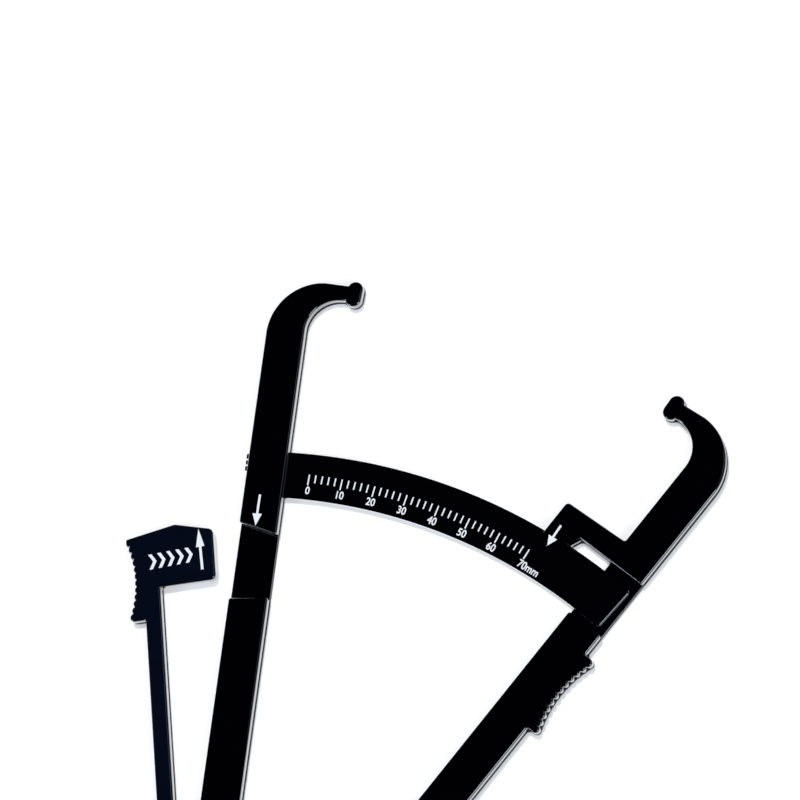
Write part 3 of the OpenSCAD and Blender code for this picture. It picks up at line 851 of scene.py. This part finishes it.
def white_sheet():
    """White gloss that darkens to a thin line at every foot.

    Ambient occlusion within LINE_W paints the shade into the sheet's colour and glow: the
    sheet is dark where its openness is under LINE_AT, and LINE_SOFT further it is white.
    Mirrored rays see a wider painted shade, so it also darkens the walls' reflections.
    """
    m, t, shader = blank("white_sheet")
    path = node(t, "ShaderNodeLightPath").outputs
    near = node(t, "ShaderNodeAmbientOcclusion", {"Distance": LINE_W}, samples=16)
    gloss = path["Is Glossy Ray"]
    low = maths(t, "MULTIPLY_ADD", gloss, MIRRORED_MORE, LINE_AT)
    high = maths(t, "ADD", low, LINE_SOFT)
    # Painted shade: ambient occlusion darkens the sheet's colour and glow near every foot.
    shade = graded(t, near.outputs["AO"], low, high, LINE_DARK)
    tone = node(t, "ShaderNodeCombineColor")
    level = maths(t, "MULTIPLY", shade, WHITE)
    for channel in tone.inputs:
        t.links.new(level, channel)
    t.links.new(tone.outputs[0], shader.inputs["Base Color"])
    seen = maths(t, "MULTIPLY", path["Is Camera Ray"], SEEN_GLOW)
    mirrored = maths(t, "MAXIMUM", gloss, path["Is Transmission Ray"])
    glow = maths(t, "MAXIMUM", seen, maths(t, "MULTIPLY", mirrored, MIRRORED_GLOW))
    t.links.new(maths(t, "MULTIPLY", glow, shade), shader.inputs["Emission Strength"])
    shader.inputs["Roughness"].default_value = SHEET_ROUGH
    shader.inputs["Emission Color"].default_value = (1, 1, 1, 1)
    return m


# The sheet lies a hair under the backs, so that the two faces never fight.
HALF, BELOW = 3.0, -2e-5
floor_mesh = bpy.data.meshes.new("white_sheet")
floor_mesh.from_pydata([(-HALF, -HALF, BELOW), (HALF, -HALF, BELOW), (HALF, HALF, BELOW),
                        (-HALF, HALF, BELOW)], [], [(0, 1, 2, 3)])
floor_mesh.materials.append(white_sheet())
floor = bpy.data.objects.new("white_sheet", floor_mesh)
bpy.context.scene.collection.objects.link(floor)

# %% [markdown]
# ## The lamps
# The faces look up into a dark studio and stay black, and the soft edges catch the four
# small softboxes as thin lines. Each of those stands where one row of edges mirrors it
# towards the camera, and is small and weak, so that the line stays thin. The key and the
# ceiling give the plain light and the soft shadow, and are hidden from mirrored rays.

# %% Lamps and studio
TARGET = Vector((0.023808, 0.147485, ARM_T * MM))


def softbox(name, direction, distance, size, watts):
    """A square area lamp that faces the target from that direction."""
    lamp = bpy.data.lights.new(name, "AREA")
    lamp.energy, lamp.size = watts, size
    body = bpy.data.objects.new(name, lamp)
    body.location = TARGET + Vector(direction).normalized() * distance
    body.rotation_euler = Vector(direction).to_track_quat("Z", "Y").to_euler()
    bpy.context.scene.collection.objects.link(body)
    return body


SKY = 0.72, 0.82, 1.0
for name, direction, distance, size, watts in (
        ("right_softbox", (0.66, -0.4, 0.64), 1.3, 0.5, 6),
        ("left_softbox", (-0.69, -0.56, 0.48), 1.3, 0.25, 3.6),
        ("low_softbox", (-0.5, -0.65, 0.57), 1.3, 0.2, 0.45),
        ("edge_softbox", (0.35, 0.22, 0.91), 1.5, 0.42, 0.4)):
    softbox(name, direction, distance, size, watts).data.color = SKY
key = softbox("key_softbox", (-0.1, 0.33, 0.94), 1.5, 0.16, 11)
ceiling = softbox("ceiling_softbox", (0, 0, 1), 1.6, 2.4, 10)
key.visible_glossy = ceiling.visible_glossy = False

# The studio: dim at the horizon, and darker still a few degrees above it.
world = bpy.data.worlds.new("studio")
bpy.context.scene.world = world
world.use_nodes = True
wt = world.node_tree
way = node(wt, "ShaderNodeTexCoord").outputs["Generated"]
parts = node(wt, "ShaderNodeSeparateXYZ")
rise = node(wt, "ShaderNodeMapRange",
            {"From Min": 0.0, "From Max": 0.12, "To Min": 0.6, "To Max": 0.01})
wt.links.new(way, parts.inputs[0])
wt.links.new(parts.outputs["Z"], rise.inputs["Value"])
wt.links.new(rise.outputs["Result"], wt.nodes["Background"].inputs["Strength"])

# %% [markdown]
# ## The camera
# The photo's view was found from the solids: both hooks are one shape, so how they differ
# in the photo gives the tilt. It is written as azimuth, elevation and roll in degrees
# about the target, because those are easy to adjust one by one.

# %% Camera
AZIMUTH, ELEVATION, ROLL = 45.2978, 68.4339, -39.9464
DISTANCE, LENS = 0.827305, 170.55
a, e = math.radians(AZIMUTH), math.radians(ELEVATION)
back = Vector((math.sin(a) * math.cos(e), -math.cos(a) * math.cos(e), math.sin(e)))
level = Vector((math.cos(a), math.sin(a), 0))
right = Matrix.Rotation(math.radians(ROLL), 3, back) @ level
up = back.cross(right)
camera_data = bpy.data.cameras.new("camera")
camera_data.lens, camera_data.sensor_width = LENS, 36
camera = bpy.data.objects.new("camera", camera_data)
basis = Matrix((right, up, back)).transposed().to_4x4()
camera.matrix_world = Matrix.Translation(TARGET + back * DISTANCE) @ basis
bpy.context.scene.collection.objects.link(camera)
bpy.context.scene.camera = camera
bpy.context.scene.view_settings.view_transform = "Standard"
print("camera right:", [round(c, 4) for c in right])
